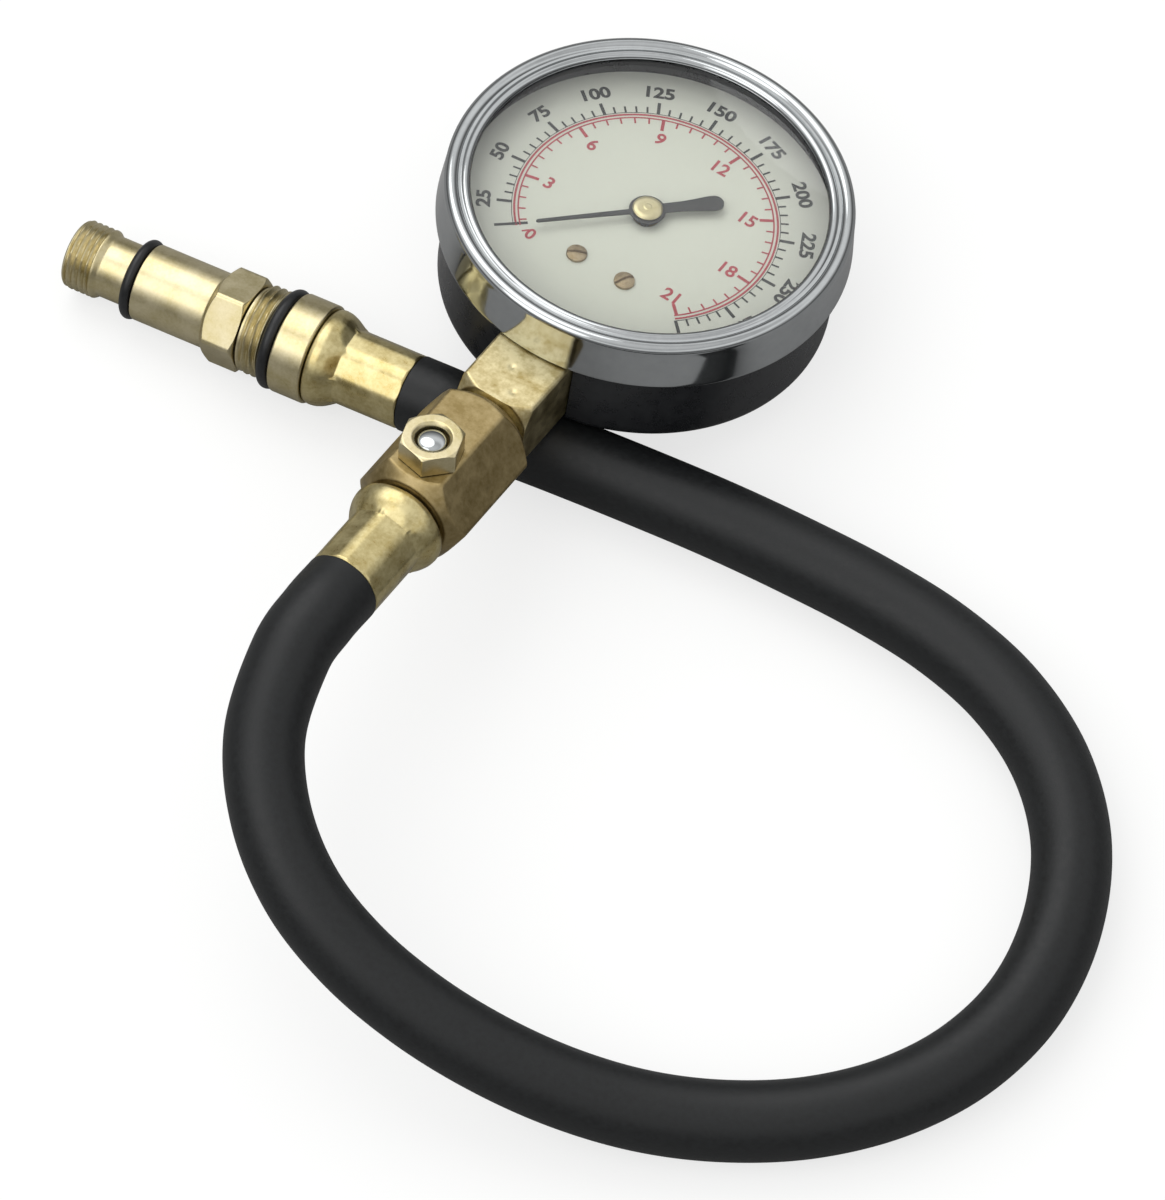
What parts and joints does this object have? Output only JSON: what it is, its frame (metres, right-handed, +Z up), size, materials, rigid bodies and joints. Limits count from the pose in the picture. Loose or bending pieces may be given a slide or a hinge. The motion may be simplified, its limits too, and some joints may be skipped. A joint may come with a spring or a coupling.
{
  "type": "compression tester gauge",
  "caption": "Round dial pressure gauge on a square brass stem with a tee block, a release valve and a short rubber hose that ends in a threaded spark-plug fitting.",
  "frame": {"origin": "on the table, under the middle of the gauge head, stem and block, hose left out", "axes": "+Z up from the table; -Y along the stem, from the dial's centre to the hose; +X to the right as the dial is read. The dial leans 12.5 degrees about X, with its stem side raised on the hose."},
  "size_m": [0.2448, 0.2062, 0.0484],
  "materials": {
    "black_paint": "semi-gloss",
    "chrome": "polished",
    "lens_glass": "clear",
    "dial_paint": "satin",
    "pointer_paint": "satin",
    "brass": "machined",
    "bronze": "drawn",
    "steel": "turned",
    "rubber": "matt"
  },
  "bodies": {
    "gauge": {"case": "black_paint", "bezel": "chrome", "lens": "lens_glass", "lens_gasket": "rubber", "dial": "dial_paint", "dial_screw_left": "brass", "dial_screw_right": "brass", "movement_back_plate": "brass", "movement_front_plate": "brass", "pillar_left": "brass", "pillar_right": "brass", "movement_screw_left": "steel", "movement_screw_right": "steel", "bourdon_tube": "bronze", "tube_tip": "brass", "hairspring": "bronze", "stem": "brass", "case_screw_left": "steel", "case_screw_right": "steel", "tee_block": "brass", "release_valve_body": "brass", "release_spring": "steel", "gauge_end_nipple": "brass", "gauge_end_ferrule": "brass", "hose": "rubber", "plug_end_ferrule": "brass", "plug_fitting_18mm": "brass", "large_o_ring": "rubber", "plug_adapter_14mm": "brass", "small_o_ring": "rubber", "check_valve_body": "brass", "check_valve_spring": "steel"},
    "hand": {"pointer": "pointer_paint", "pointer_hub": "brass", "pinion_arbor": "steel"},
    "sector": {"sector_gear": "brass", "sector_arbor": "steel", "link_rivet": "steel"},
    "coupler": {"link": "brass"},
    "button": {"release_button": "chrome", "release_seal": "rubber"},
    "valve_pin": {"check_valve_pin": "steel"}
  },
  "joints": [
    {"name": "pointer_turn", "type": "hinge", "parent": "gauge", "child": "hand", "pos_m": [0, 0.02125, 0.02237], "axis": [0, -0.2164, -0.9763], "range_deg": [0, 270]},
    {"name": "sector_turn", "type": "hinge", "parent": "gauge", "child": "sector", "pos_m": [0, 0.00588, 0.02168], "axis": [0, 0.2164, 0.9763], "range_deg": [0, 27]},
    {"name": "link_turn", "type": "hinge", "parent": "sector", "child": "coupler", "pos_m": [0.00168, -0.00011, 0.02367], "axis": [0, -0.2164, -0.9763], "range_deg": [0, 27]},
    {"name": "release_press", "type": "slide", "parent": "gauge", "child": "button", "axis": [0.0698, -0.2159, -0.9739], "range_m": [0, 0.0018], "stiffness_N_per_m": 400, "deforming": ["release_spring"]},
    {"name": "check_pin_press", "type": "slide", "parent": "gauge", "child": "valve_pin", "axis": [0.9926, 0.1026, 0.0645], "range_m": [0, 0.0015], "stiffness_N_per_m": 200, "deforming": ["check_valve_spring"]}
  ],
  "couplings": [
    {"joint": "sector_turn", "follows": "pointer_turn", "ratio": 0.1},
    {"joint": "link_turn", "follows": "pointer_turn", "ratio": 0.1}
  ]
}
